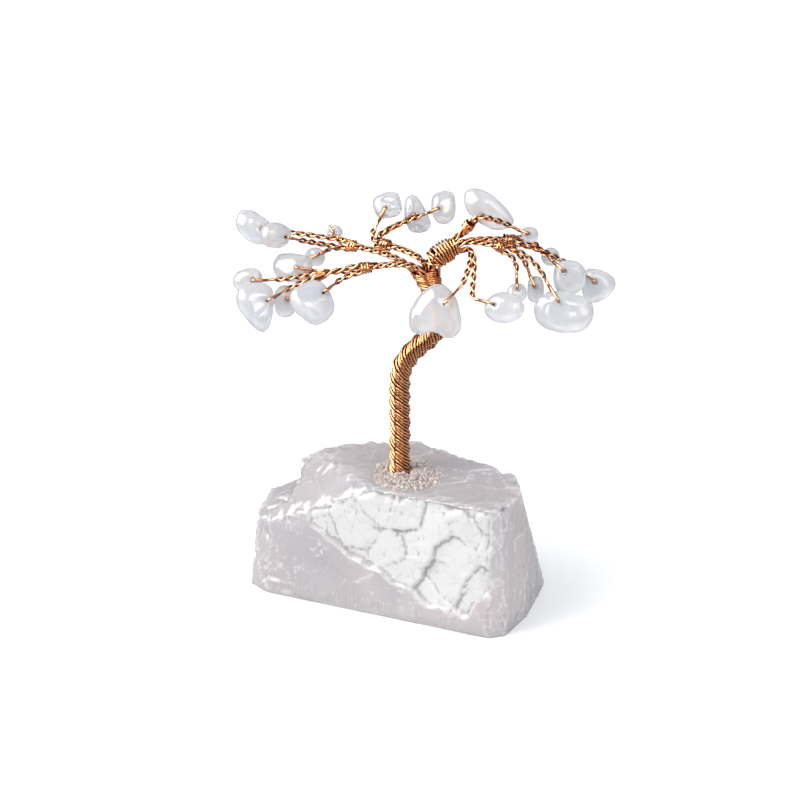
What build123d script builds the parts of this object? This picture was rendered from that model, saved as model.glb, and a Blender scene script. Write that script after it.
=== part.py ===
from build123d import *
from collections import namedtuple
from math import atan2, ceil, cos, exp, copysign, pi, radians, sin, sqrt
import os
import random

# Gemstone tree: tumbled quartz chips on twisted copper wire, standing in a block of rough quartz.
# Millimetres. +X right, +Y away from the viewer, +Z up. The origin lies on the block's sawn
# underside, straight below the foot of the trunk.

# Rough quartz block
ROCK_WIDTH = 52.0
ROCK_DEPTH = 34.5
ROCK_HEIGHT = 24.0
LEDGE_DROP = 6.5
LEDGE_WIDTH = 5.0

# Drilled socket, glue and grit at the foot
SOCKET_DEPTH = 9.0
GLUE_WALL = 0.6
GLUE_FIT = 0.03
TRUNK_FIT = 0.25
BED_LENGTH = 12.0
BED_WIDTH = 13.0
BED_THICKNESS = 0.4
BED_FORWARD = 1.5
BED_POINTS = 14
GRAIN_SIZE = 1.8
GRAIN_SPACING = 2.1

# Copper wire
WIRE_D = 0.45
WIRE_SIDES = 5
STRAND_GAP = 0.05
PAIR_LEAD = 3.6
PAIR_STEPS = 5

# Trunk
TRUNK_D = 3.6
TRUNK_STRANDS = 7
TRUNK_LEAD = 5.4
TRUNK_STEPS = 5
TRUNK_SINK = 1.5
CORE_GAP = 0.1
CORE_SIDES = 10
SHAFT_HEIGHT = 21.5
CROOK_RISE = 7.1
CROOK_REACH = 8.6
NECK_RISE = 9.9
NECK_RETURN = 4.3
CROOK_RADIUS = 9.0
NECK_RADIUS = 6.0

# Branches
BRANCH_LEAD = 4.8
BRANCH_STEPS = 5
FORK_GAP = 0.16
FORK_SPACE = 0.12
FORK_BEND = 0.3

# Winding round the bough
WRAP_LOOPS = 4
WRAP_GAP = 0.65
WRAP_SIDES = 5
WRAP_CLEARANCE = 0.1
WRAP_START = 1.2

# Chips and the loops that they hang on
BORE_D = 0.95
BORE_SIDES = 8
LOOP_CLEARANCE = 0.3
LOOP_BEND = 0.5
LOOP_NECK = 1.1
CHIP_SWING = 15.0
SWING_SPARE = 6.0
CHIP_POINTS = 12
HEART_POINTS = 20
HOLE_SHARE = 0.4
CHIP_FACING = Vector(0, -0.93, 0.37)
CHIP_LEVELS = ((-1.0, 0.5), (-0.7, 0.83), (-0.25, 1.0), (0.25, 1.0), (0.7, 0.83), (1.0, 0.5))

Branch = namedtuple("Branch", "name carrier end strands")
Chip = namedtuple("Chip", "name carrier centre width height thick roll power taper notch via", defaults=[None])

# Branch ends, chip centres and the points that a few twigs bend round on their way are measured from
# the crown, where the trunk ends.
BRANCHES = [
    Branch("left_high", "trunk", (-13.5, 2.0, 4.0), 3),
    Branch("left_low", "trunk", (-11.0, -2.0, 1.0), 3),
    Branch("back", "trunk", (-7.5, 5.5, 3.0), 3),
    Branch("bough", "trunk", (6.0, 1.0, 4.5), 6),
    Branch("left_far", "left_low", (-19.0, -2.0, -0.5), 2),
    Branch("right_high", "bough", (8.0, -0.5, 9.0), 3),
    Branch("right_middle", "bough", (15.5, 3.0, 4.5), 3),
    Branch("right_low", "bough", (14.0, -1.0, 4.5), 3),
]
CHIPS = [
    Chip("left_high_1", "left_high", (-30.0, 4.0, 6.5), 8.0, 5.8, 4.2, -35, 2.2, 0.1, 0),
    Chip("left_high_2", "left_high", (-26.0, -3.0, 7.5), 6.4, 5.2, 3.8, -10, 2.4, 0.0, 0),
    Chip("left_high_3", "left_high", (-16.0, 8.0, 4.0), 4.0, 3.6, 3.0, 0, 2.2, 0.0, 0),
    Chip("left_high_4", "left_high", (-19.4, 7.5, -0.2), 5.0, 4.2, 3.2, 15, 2.3, 0.0, 0),
    Chip("left_low_1", "left_low", (-23.3, 2.8, -0.5), 8.4, 5.8, 4.2, 10, 2.3, 0.1, 0),
    Chip("left_low_2", "left_low", (-19.4, -8.0, -3.0), 8.0, 8.7, 4.8, 20, 2.5, 0.1, 0),
    Chip("left_far_1", "left_far", (-31.0, 0.0, -2.0), 6.2, 5.0, 3.8, 20, 2.2, 0.1, 0),
    Chip("left_far_2", "left_far", (-29.2, -6.0, -4.7), 6.8, 9.6, 4.4, 8, 2.2, 0.45, 0),
    Chip("left_far_3", "left_far", (-24.5, -1.0, -5.5), 5.0, 6.4, 3.8, 0, 2.3, 0.0, 0),
    Chip("back_1", "back", (-6.5, 10.5, 8.5), 5.9, 5.2, 3.8, 10, 3.2, 0.0, 0),
    Chip("back_2", "back", (-1.5, 14.5, 5.5), 4.8, 7.7, 3.8, 0, 2.8, -0.3, 0),
    Chip("back_3", "back", (3.5, 11.0, 8.0), 5.0, 6.6, 3.8, 0, 2.4, 0.1, 0),
    Chip("right_high_1", "bough", (11.0, 3.5, 9.9), 10.8, 5.8, 4.4, -35, 2.3, 0.15, 0),
    Chip("right_high_2", "right_high", (18.4, 0.0, 6.6), 4.0, 3.6, 3.0, 0, 2.3, 0.0, 0),
    Chip("right_middle_1", "right_middle", (22.5, 7.0, 0.0), 4.2, 4.0, 3.0, 0, 2.3, 0.0, 0),
    Chip("right_middle_2", "right_middle", (25.5, 0.0, -1.3), 6.4, 6.8, 4.0, 0, 2.5, 0.0, 0),
    Chip("right_middle_3", "right_middle", (31.0, 5.0, -4.6), 6.6, 7.0, 4.0, 90, 2.2, 0.3, 0),
    Chip("right_low_1", "right_low", (24.3, -6.0, -5.6), 11.3, 8.0, 4.8, -8, 2.4, 0.05, 0),
    Chip("right_low_2", "right_low", (19.5, 0.0, -3.5), 3.8, 5.5, 3.2, 0, 2.3, 0.0, 0),
    Chip("right_low_3", "right_low", (16.2, -4.0, -2.8), 4.4, 4.0, 3.2, 0, 2.3, 0.0, 0),
    Chip("front_1", "bough", (2.0, -6.5, -5.5), 9.4, 10.6, 5.0, -8, 2.2, -0.28, 0.17, (6.6, -4.6, -1.0)),
    Chip("front_2", "bough", (13.8, -9.0, -3.7), 8.0, 5.8, 4.2, 5, 2.2, 0.0, 0, (7.5, -6.5, -2.5)),
]

# Derived sizes
wire_r = WIRE_D / 2
strand_pitch = WIRE_D + STRAND_GAP
foot = Vector(0, 0, ROCK_HEIGHT)
trunk_strand_r = TRUNK_D / 2 - wire_r
core_r = trunk_strand_r * cos(pi / TRUNK_STEPS) - wire_r - CORE_GAP
socket_r = TRUNK_D / 2 + GLUE_WALL


def regular_profile(point, direction, radius, sides):
    """A regular polygon square to a direction."""
    return Plane(point, z_dir=direction) * RegularPolygon(radius, sides)


def faceted_tube(points, radius, sides):
    """A tube of flat facets, mitred at each point of its route."""
    profile = regular_profile(points[0], points[1] - points[0], radius, sides)
    return sweep(profile, path=Polyline(*points), transition=Transition.RIGHT).solid()


def stations(curve, count, end_normal):
    """Points, tangents and untwisted normals at equal steps along a curve, normals set from its end."""
    points = [curve.position_at(k / count) for k in range(count + 1)]
    tangents = [curve.tangent_at(k / count) for k in range(count + 1)]
    normals = [end_normal]
    for tangent in reversed(tangents):
        last = normals[0]
        normals.insert(0, (last - tangent * last.dot(tangent)).normalized())
    return list(zip(points, tangents, normals[:-1]))


def strand_route(curve, radius, lead, steps, phase, end_normal):
    """A strand's points, laid at a radius round a curve; its turn is counted back from the end."""
    count = max(2, ceil(curve.length / lead * steps))
    route = []
    for k, (point, tangent, normal) in enumerate(stations(curve, count, end_normal)):
        angle = phase + 2 * pi * (1 - k / count) * curve.length / lead
        side = tangent.cross(normal)
        route.append(point + normal * (radius * cos(angle)) + side * (radius * sin(angle)))
    return route


def lay_radius(strands, lead, steps):
    """Radius at which that many strands of wire lie round a rope's axis with the strand gap between them."""
    radius = strand_pitch / 2
    for _ in range(30):
        slope = sqrt(1 + (2 * pi * radius / lead) ** 2) if strands > 2 else 1
        radius = strand_pitch * slope / (2 * sin(pi / strands) * cos(pi / steps))
    return radius


def square_to(direction, wanted):
    """The part of a wanted direction that is square to another."""
    return (wanted - direction * wanted.dot(direction)).normalized()


def fork_bases(fork, targets, outer_r):
    """Starting points on a ring in front of a fork, shared out in the order of the targets round it."""
    point, direction = fork
    across = square_to(direction, Vector(0, 0, 1))
    side = direction.cross(across)
    ring_r = (outer_r + FORK_SPACE) / sin(pi / len(targets)) if len(targets) > 1 else 0
    angles = [atan2((t - point).dot(side), (t - point).dot(across)) for t in targets]
    order = sorted(range(len(targets)), key=lambda i: angles[i])
    step = 2 * pi / len(targets)
    drift = [angles[i] - rank * step for rank, i in enumerate(order)]
    turn = atan2(sum(sin(d) for d in drift), sum(cos(d) for d in drift))
    bases = [None] * len(targets)
    for rank, i in enumerate(order):
        angle = turn + rank * step
        offset = across * (ring_r * cos(angle)) + side * (ring_r * sin(angle))
        bases[i] = point + direction * FORK_GAP + offset
    return bases


def chip_outline(chip):
    """The chip's outline as points round its middle, in its own plane."""
    points = []
    count = HEART_POINTS if chip.notch else CHIP_POINTS
    for k in range(count):
        c, s = cos(2 * pi * k / count), sin(2 * pi * k / count)
        x = chip.width / 2 * copysign(abs(c) ** (2 / chip.power), c)
        y = chip.height / 2 * copysign(abs(s) ** (2 / chip.power), s)
        x *= 1 + chip.taper * 2 * y / chip.height
        if y < 0:
            y += chip.notch * chip.height * exp(-((5 * x / chip.width) ** 2))
        points.append(Vector(x, y).rotate(Axis.Z, chip.roll))
    return points


def chip_plane(centre, bore):
    """The chip's own plane: its bore is the plane's normal, and up in it is as near up as can be."""
    up = square_to(bore, Vector(0, 0, 1))
    return Plane(centre, x_dir=up.cross(bore), z_dir=bore)


def chip_solid(chip, plane, middle):
    """A tumbled chip, fullest at half its thickness and flattened round both ends of its bore."""
    outline = chip_outline(chip)
    sections = []
    for level, share in CHIP_LEVELS:
        lifted = [middle + p * share + Vector(0, 0, level * chip.thick / 2) for p in outline]
        sections.append([plane.from_local_coords(p) for p in lifted])
    polygons = [sections[0], sections[-1]]
    for lower, upper in zip(sections, sections[1:]):
        for k in range(len(outline)):
            polygons.append([lower[k - 1], lower[k], upper[k], upper[k - 1]])
    body = Solid(Shell([Face(Wire.make_polygon(p, close=True)) for p in polygons]))
    bore = extrude(RegularPolygon(BORE_D / 2, BORE_SIDES), chip.thick, both=True)
    return (body - plane * bore).solid()


def towards_twig(outline, heading):
    """How far an outline reaches from its middle along a heading."""
    return max(p.dot(heading) for p in outline)


def chip_reach(chip, middle, direction):
    """How far the chip reaches from its bore towards its twig, over its whole swing."""
    heading = atan2(direction.Y, direction.X)
    outline = [middle + p for p in chip_outline(chip)]
    reach = 0
    for a, b in zip(outline, outline[1:] + outline[:1]):
        for share in (0, 0.25, 0.5, 0.75):
            p = a + (b - a) * share
            off = abs((atan2(p.Y, p.X) - heading + pi) % (2 * pi) - pi)
            if off < radians(CHIP_SWING + SWING_SPARE) + wire_r / p.length:
                reach = max(reach, p.length)
    return max(reach, BORE_D)


def loop_side(chip, reach, shift):
    """One leg of the loop, as distances along the twig and along the bore, from the twist to the bore."""
    off = wire_r + LOOP_CLEARANCE
    half = chip.thick / 2
    profile = [((reach + shift) * share - shift, half * level) for level, share in CHIP_LEVELS[3:]]
    leg = [(reach + off, profile[0][1])]
    for (r0, h0), (r1, h1) in zip(profile, profile[1:]):
        run = sqrt((r1 - r0) ** 2 + (h1 - h0) ** 2)
        leg.append(((r0 + r1) / 2 + off * (h1 - h0) / run, (h0 + h1) / 2 + off * (r0 - r1) / run))
    top = half + off
    for k in range(4):
        angle = k * pi / 6
        leg.append((LOOP_BEND * (1 - sin(angle)), top - LOOP_BEND * (1 - cos(angle))))
    return leg


def biarc(p0, t0, p1, t1):
    """Two tangent arcs that join two points with given directions."""
    v = p1 - p0
    t = t0 + t1
    lean = 2 * (1 - t0.dot(t1))
    d = (sqrt(v.dot(t) ** 2 + lean * v.dot(v)) - v.dot(t)) / lean
    middle = (p0 + p1 + (t0 - t1) * d) * 0.5
    join = (p0 + t0 * d - middle).normalized() * -1
    return [Edge.make_tangent_arc(p0, t0, middle), Edge.make_tangent_arc(middle, join, p1)]


def least_gap(route, skip, clearance):
    """Least gap of a tube to itself, on points along its route, leaving out near neighbours."""
    pairs = ((i, j) for i in range(len(route)) for j in range(i + skip, len(route)))
    return min((route[i] - route[j]).length for i, j in pairs) - clearance


def rock():
    """The block: a sawn underside, cleaved sides, a stepped left end and a drilled socket."""
    outline = [(-0.53, 0.12), (-0.47, 0.0), (0.3, -0.56), (0.36, -0.53), (0.44, -0.3), (0.51, 0.1), (0.5, 0.3),
               (0.36, 0.42), (0.1, 0.47), (-0.24, 0.46), (-0.45, 0.36)]
    footprint = make_face(Polyline(*[(ROCK_WIDTH * x, ROCK_DEPTH * y) for x, y in outline], close=True))
    block = extrude(footprint, ROCK_HEIGHT, taper=3)
    slopes = [((-0.135, -0.194, 0.958), (-0.71, -0.43, 1)), ((0.33, 0.07, 1), (0.69, 0.73, 0.47)),
              ((-0.25, 0.4, 1), (-0.4, 0.15, 1)), ((0.435, 0.2, 0.6), (1, 0.1, 0.26)),
              ((-0.505, 0.1, 0.5), (-1, -0.2, 0.1)), ((-0.2, 0.44, 0.6), (-0.3, 1, 0.2))]
    for (x, y, z), normal in slopes:
        cleave = Plane((ROCK_WIDTH * x, ROCK_DEPTH * y, ROCK_HEIGHT * z), z_dir=normal)
        block = split(block, bisect_by=cleave, keep=Keep.BOTTOM)
    step = Box(ROCK_WIDTH, 2 * ROCK_DEPTH, ROCK_HEIGHT, align=(Align.MAX, Align.CENTER, Align.MIN))
    edge = Pos(LEDGE_WIDTH - ROCK_WIDTH / 2, 0, ROCK_HEIGHT - LEDGE_DROP)
    block -= edge * Rot(0, -12, -20) * step
    socket = Cylinder(socket_r, SOCKET_DEPTH, align=(Align.CENTER, Align.CENTER, Align.MAX))
    return (block - Pos(foot) * socket).solid()


def glue():
    """Set glue: a sleeve round the trunk in its socket, with a bed on top that holds the grit."""
    sleeve = Cylinder(socket_r - GLUE_FIT, SOCKET_DEPTH - GLUE_FIT, align=(Align.CENTER, Align.CENTER, Align.MAX))
    turns = [2 * pi * k / BED_POINTS for k in range(BED_POINTS)]
    rim = [(BED_WIDTH / 2 * cos(a), BED_LENGTH / 2 * sin(a) - BED_FORWARD) for a in turns]
    bed = extrude(make_face(Polyline(*rim, close=True)), BED_THICKNESS)
    core = Cylinder(core_r + GLUE_FIT, 3 * SOCKET_DEPTH)
    wound = Cylinder(TRUNK_D / 2 + TRUNK_FIT, 3 * SOCKET_DEPTH, align=(Align.CENTER, Align.CENTER, Align.MIN))
    return (Pos(foot) * (sleeve + bed - core - Pos(0, 0, -TRUNK_SINK - TRUNK_FIT) * wound)).solid()


def grit():
    """Crushed quartz grains on rings round the trunk, standing on the glue bed."""
    draw = random.Random(4)
    grains = []
    ring = TRUNK_D / 2 + GLUE_FIT + GRAIN_SPACING / 2
    while ring < BED_WIDTH / 2:
        count = int(2 * pi * ring / GRAIN_SPACING)
        for k in range(count):
            angle = 2 * pi * k / count + ring
            x, y = ring * cos(angle), ring * sin(angle)
            inside = (2 * x / BED_WIDTH) ** 2 + (2 * (y + BED_FORWARD) / BED_LENGTH) ** 2
            size = GRAIN_SIZE * draw.uniform(0.6, 1.0) / 2
            height = GRAIN_SIZE * draw.uniform(0.5, 0.9)
            turn = draw.uniform(0, 90)
            if inside < 0.8:
                grain = extrude(RegularPolygon(size, draw.choice((4, 5))), height, taper=draw.uniform(8, 20))
                grains.append(Pos(x, y, BED_THICKNESS) * Rot(0, 0, turn) * grain)
        ring += GRAIN_SPACING
    return Compound([(Pos(foot) * g).solid() for g in grains])


# Trunk: a shaft that crooks to the right and comes back to the crown
crook = Vector(0, 0, SHAFT_HEIGHT)
elbow = crook + Vector(CROOK_REACH, 0, CROOK_RISE)
crown = foot + elbow + Vector(-NECK_RETURN, 0, NECK_RISE)
knees = [foot - Vector(0, 0, TRUNK_SINK), foot + crook, foot + elbow, crown]
trunk_axis = FilletPolyline(*knees, radius=[CROOK_RADIUS, NECK_RADIUS])
knees[0] = foot - Vector(0, 0, SOCKET_DEPTH - GLUE_FIT)
core_axis = FilletPolyline(*knees, radius=[CROOK_RADIUS, NECK_RADIUS])
away = Vector(0, 1, 0)
trunk_routes = [
    strand_route(trunk_axis, trunk_strand_r, TRUNK_LEAD, TRUNK_STEPS, 2 * pi * j / TRUNK_STRANDS, away)
    for j in range(TRUNK_STRANDS)
]
core_points = [p for p, _, _ in stations(core_axis, ceil(core_axis.length / TRUNK_LEAD * 2), away)]
nodes = {
    "rock_base": rock(),
    "socket_glue": glue(),
    "quartz_grit": grit(),
    "trunk_core": faceted_tube(core_points, core_r, CORE_SIDES),
    "trunk_strands": Compound([faceted_tube(r, wire_r, WIRE_SIDES) for r in trunk_routes]),
}

# Branches and twigs, from the trunk outwards
pair_r = lay_radius(2, PAIR_LEAD, PAIR_STEPS)
forks = {"trunk": (crown, trunk_axis.tangent_at(1))}
axes = {}
chip_axes = {}


def bent_from(base, direction, target):
    """The corner of a branch that leaves its fork straight on and then heads for its target."""
    return base + direction * (FORK_BEND * (target - base).length)


def add_branch(branch, base, direction):
    """A rope of wires from its fork to its own fork."""
    end = crown + Vector(branch.end)
    corner = bent_from(base, direction, end)
    curve = Bezier(base, corner, end)
    heading = (end - corner).normalized()
    radius = lay_radius(branch.strands, BRANCH_LEAD, BRANCH_STEPS)
    normal = square_to(heading, away)
    routes = [
        strand_route(curve, radius, BRANCH_LEAD, BRANCH_STEPS, 2 * pi * j / branch.strands, normal)
        for j in range(branch.strands)
    ]
    nodes["branch_" + branch.name] = Compound([faceted_tube(r, wire_r, WIRE_SIDES) for r in routes])
    forks[branch.name] = (end, heading)
    axes[branch.name] = (curve, radius + wire_r)


def add_chip(chip, base, direction):
    """A chip, and its twig: one wire folded through the bore and twisted with itself back to the fork."""
    centre = crown + Vector(chip.centre)
    corners = [bent_from(base, direction, centre)]
    if chip.via:
        corners.append(crown + Vector(chip.via))
    heading = (centre - corners[-1]).normalized()
    bore = square_to(heading, CHIP_FACING)
    back_way = chip_plane(Vector(), bore).to_local_coords(heading * -1)
    shift = HOLE_SHARE * towards_twig(chip_outline(chip), back_way)
    drill = centre - heading * shift
    plane = chip_plane(drill, bore)
    reach = chip_reach(chip, back_way * -shift, back_way)
    twist_end = drill - heading * (reach + LOOP_NECK + wire_r + LOOP_CLEARANCE)
    curve = Bezier(base, *corners, twist_end)
    out, back = [strand_route(curve, pair_r, PAIR_LEAD, PAIR_STEPS, turn, bore) for turn in (0, pi)]
    leg = loop_side(chip, reach, shift)
    near = [drill - heading * r + bore * h for r, h in leg]
    far = [drill - heading * r - bore * h for r, h in leg]
    nodes["twig_" + chip.name] = faceted_tube(out + near + far[::-1] + back[::-1], wire_r, WIRE_SIDES)
    nodes["chip_" + chip.name] = chip_solid(chip, plane, back_way * -shift)
    chip_axes["chip_" + chip.name] = (drill, bore)


def member_radius(member):
    """Outer radius of a branch or twig."""
    if isinstance(member, Branch):
        return lay_radius(member.strands, BRANCH_LEAD, BRANCH_STEPS) + wire_r
    return pair_r + wire_r


for carrier in ["trunk"] + [b.name for b in BRANCHES]:
    members = [m for m in BRANCHES + CHIPS if m.carrier == carrier]
    if members:
        targets = [crown + Vector(m.end if isinstance(m, Branch) else m.centre) for m in members]
        bases = fork_bases(forks[carrier], targets, max(member_radius(m) for m in members))
        for member, base in zip(members, bases):
            add = add_branch if isinstance(member, Branch) else add_chip
            add(member, base, forks[carrier][1])

# Winding round the bough: one wire in open loops
bough_axis, bough_r = axes["bough"]
wrap_r = bough_r + wire_r + WRAP_CLEARANCE
wrap_lead = WIRE_D + WRAP_GAP
wrap_route = []
wrap_ways = []
for k in range(4 * WRAP_LOOPS + 1):
    along = (WRAP_START + wrap_lead * k / 4) / bough_axis.length
    tangent = bough_axis.tangent_at(along)
    across = square_to(tangent, away)
    side = tangent.cross(across)
    c, s = cos(pi * k / 2), sin(pi * k / 2)
    wrap_route.append(bough_axis.position_at(along) + (across * c + side * s) * wrap_r)
    wrap_ways.append((tangent * wrap_lead + (side * c - across * s) * (2 * pi * wrap_r)).normalized())
wrap_edges = [Edge.make_line(wrap_route[0] - wrap_ways[0] * WIRE_D, wrap_route[0])]
for k in range(4 * WRAP_LOOPS):
    wrap_edges += biarc(wrap_route[k], wrap_ways[k], wrap_route[k + 1], wrap_ways[k + 1])
wrap_edges.append(Edge.make_line(wrap_route[-1], wrap_route[-1] + wrap_ways[-1] * WIRE_D))
wrap_path = Wire(wrap_edges)
wrap_profile = regular_profile(wrap_path @ 0, wrap_path % 0, wire_r, WRAP_SIDES)
nodes["crown_wrap"] = sweep(wrap_profile, path=wrap_path).solid()
wrap_points = [wrap_path @ (k / 400) for k in range(401)]
half_loop = int(200 / WRAP_LOOPS)
print("winding's least gap to itself:", round(least_gap(wrap_points, half_loop, WIRE_D), 3))
strand_gap = min((p - q).length for p in trunk_routes[0] for q in trunk_routes[1]) - WIRE_D
print("trunk strands' least gap at their points:", round(strand_gap, 3))

os.makedirs("parts", exist_ok=True)
for name, shape in nodes.items():
    export_step(shape, f"parts/{name}.step")
print("nodes:", len(nodes))
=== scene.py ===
# %% [markdown]
# A small gemstone tree. Drilled, tumbled quartz chips hang in loops of copper wire. The wires are twisted
# together into twigs, branches and a wound trunk, and the trunk is glued into a block of rough quartz.
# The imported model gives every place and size. This lesson dresses it: faceted wires become round ones,
# plain chips become tumbled pebbles, and the plain block becomes broken stone.

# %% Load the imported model
import math
import random

import bmesh
import bpy
from mathutils import Matrix, Vector, noise
from mathutils.bvhtree import BVHTree
from mathutils.kdtree import KDTree


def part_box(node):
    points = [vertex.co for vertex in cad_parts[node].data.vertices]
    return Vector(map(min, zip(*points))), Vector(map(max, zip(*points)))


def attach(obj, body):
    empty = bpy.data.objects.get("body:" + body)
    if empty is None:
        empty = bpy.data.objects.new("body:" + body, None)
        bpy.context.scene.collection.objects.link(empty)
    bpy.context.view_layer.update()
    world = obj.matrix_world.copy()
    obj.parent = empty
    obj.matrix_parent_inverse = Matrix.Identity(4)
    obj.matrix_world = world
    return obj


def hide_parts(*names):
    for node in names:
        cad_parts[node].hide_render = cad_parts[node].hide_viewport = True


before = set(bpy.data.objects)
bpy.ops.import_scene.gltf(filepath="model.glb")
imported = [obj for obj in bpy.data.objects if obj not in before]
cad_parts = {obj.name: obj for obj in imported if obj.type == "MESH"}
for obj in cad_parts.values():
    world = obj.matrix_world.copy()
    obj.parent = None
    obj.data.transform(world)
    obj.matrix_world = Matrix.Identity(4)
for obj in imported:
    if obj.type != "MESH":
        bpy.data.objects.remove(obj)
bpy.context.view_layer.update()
MM = 0.001
TREE = "tree"
# noise_vector has a seed, and without a set one it would bend otherwise on each run
NOISE_SEED = 11
noise.seed_set(NOISE_SEED)

# %% [markdown]
# A piece could be an object that is moved into place, but a pattern on Object coordinates would then
# slide when the object is exported. So each piece here has its place in its mesh, and its object stays at
# the origin.

# %% Helpers for pieces
SAME_PLACE = 0.002 * MM


def add_piece(name, mesh, body, material, stands_for=()):
    """A finished piece: it rides on a body, has one finish and may stand for plain nodes."""
    piece = bpy.data.objects.new(name, mesh)
    bpy.context.scene.collection.objects.link(piece)
    mesh.materials.clear()
    mesh.materials.append(material)
    mesh.shade_smooth()
    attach(piece, body)
    if stands_for:
        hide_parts(*stands_for)
    return piece


def evaluated_mesh(source):
    """The mesh that an object's curve or modifiers give; the object itself is removed."""
    bpy.context.view_layer.update()
    mesh = bpy.data.meshes.new_from_object(source.evaluated_get(bpy.context.evaluated_depsgraph_get()))
    bpy.data.objects.remove(source)
    return mesh


def merged_copy(node):
    """A node's mesh as a bmesh, with its loose triangles joined at their corners."""
    bm = bmesh.new()
    bm.from_mesh(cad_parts[node].data)
    bmesh.ops.remove_doubles(bm, verts=bm.verts, dist=SAME_PLACE)
    return bm


def voxel_copy(node, voxel):
    """A node's shape as an even mesh of small quads, ready to be worn or broken."""
    bm = merged_copy(node)
    mesh = bpy.data.meshes.new(node + "_rough")
    bm.to_mesh(mesh)
    bm.free()
    rough = bpy.data.objects.new(node + "_rough", mesh)
    bpy.context.scene.collection.objects.link(rough)
    remesh = rough.modifiers.new("even_quads", "REMESH")
    remesh.mode = "VOXEL"
    remesh.voxel_size = voxel
    even = bmesh.new()
    even.from_mesh(evaluated_mesh(rough))
    return even


def soften(bm, passes):
    """Wears the edges of a mesh, as tumbling does."""
    for _ in range(passes):
        bmesh.ops.smooth_vert(bm, verts=bm.verts, factor=0.5, use_axis_x=True, use_axis_y=True,
                              use_axis_z=True)


print("helpers ready")

# %% [markdown]
# Quartz and copper both vary over their surface: quartz holds cloudy veils and healed cracks, and bare
# copper dulls in patches. Each effect could be built again in every material. A shader node group is built
# once, and each material gives it its own scale. The groups put out masks and heights only, and the shaders
# stay outside.

# %% Shared effects as node groups


def add_node(tree, kind, settings=None, **inputs):
    """A node with its settings, its plain socket values and its links."""
    made = tree.nodes.new(kind)
    for key, value in (settings or {}).items():
        setattr(made, key, value)
    for key, value in inputs.items():
        socket = made.inputs[key.replace("_", " ")]
        if isinstance(value, bpy.types.NodeSocket):
            tree.links.new(value, socket)
        else:
            socket.default_value = value
    return made


def add_math(tree, operation, a, b=0.0):
    """A math node of two values."""
    made = tree.nodes.new("ShaderNodeMath")
    made.operation = operation
    for socket, value in zip(made.inputs, (a, b)):
        if isinstance(value, bpy.types.NodeSocket):
            tree.links.new(value, socket)
        else:
            socket.default_value = value
    return made.outputs[0]


def spread(tree, value, low, high, to_low=0.0, to_high=1.0):
    """Stretches a stretch of values to another, and holds the ends."""
    made = add_node(tree, "ShaderNodeMapRange", {"clamp": True}, Value=value, From_Min=low, From_Max=high,
                    To_Min=to_low, To_Max=to_high)
    return made.outputs[0]


def mix_colour(tree, share, first, second):
    """A blend of two colours by a mask."""
    made = tree.nodes.new("ShaderNodeMix")
    made.data_type = "RGBA"
    for socket, value in zip((made.inputs[0], made.inputs[6], made.inputs[7]), (share, first, second)):
        if isinstance(value, bpy.types.NodeSocket):
            tree.links.new(value, socket)
        else:
            socket.default_value = value
    return made.outputs[2]


def tint(tree, under, mask, share, colour):
    """Lays a colour over another, by a share of a mask."""
    return mix_colour(tree, add_math(tree, "MULTIPLY", mask, share), under, colour)


def new_group(name, inputs, outputs):
    """An empty node group with number inputs (a place first) and number outputs."""
    group = bpy.data.node_groups.new(name, "ShaderNodeTree")
    group.interface.new_socket("Place", in_out="INPUT", socket_type="NodeSocketVector")
    for label, value in inputs.items():
        socket = group.interface.new_socket(label, in_out="INPUT", socket_type="NodeSocketFloat")
        socket.default_value = value
    for label in outputs:
        group.interface.new_socket(label, in_out="OUTPUT", socket_type="NodeSocketFloat")
    return group, group.nodes.new("NodeGroupInput").outputs, group.nodes.new("NodeGroupOutput").inputs


def make_veils():
    """Soft clouds with a finer grain in them."""
    inputs = {"Scale": 200.0, "Detail": 5.0, "Low": 0.35, "High": 0.65}
    group, given, out = new_group("Veils", inputs, ["Mask", "Height"])
    cloud = add_node(group, "ShaderNodeTexNoise", Vector=given["Place"], Scale=given["Scale"],
                     Detail=given["Detail"], Roughness=0.6, Distortion=0.6).outputs["Fac"]
    group.links.new(spread(group, cloud, given["Low"], given["High"]), out["Mask"])
    group.links.new(cloud, out["Height"])
    return group


def vector_math(tree, operation, first, second):
    """A vector math node of two vectors, or of a vector and a scale."""
    made = add_node(tree, "ShaderNodeVectorMath", {"operation": operation})
    tree.links.new(first, made.inputs[0])
    socket = made.inputs["Scale"] if operation == "SCALE" else made.inputs[1]
    if isinstance(second, bpy.types.NodeSocket):
        tree.links.new(second, socket)
    else:
        socket.default_value = second
    return made.outputs["Value" if operation == "DOT_PRODUCT" else "Vector"]


BORDER_BEND = 0.75
CRACK_GAPS = (0.44, 0.56)
FLECK_CHANCE = (0.88, 0.92)


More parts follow.
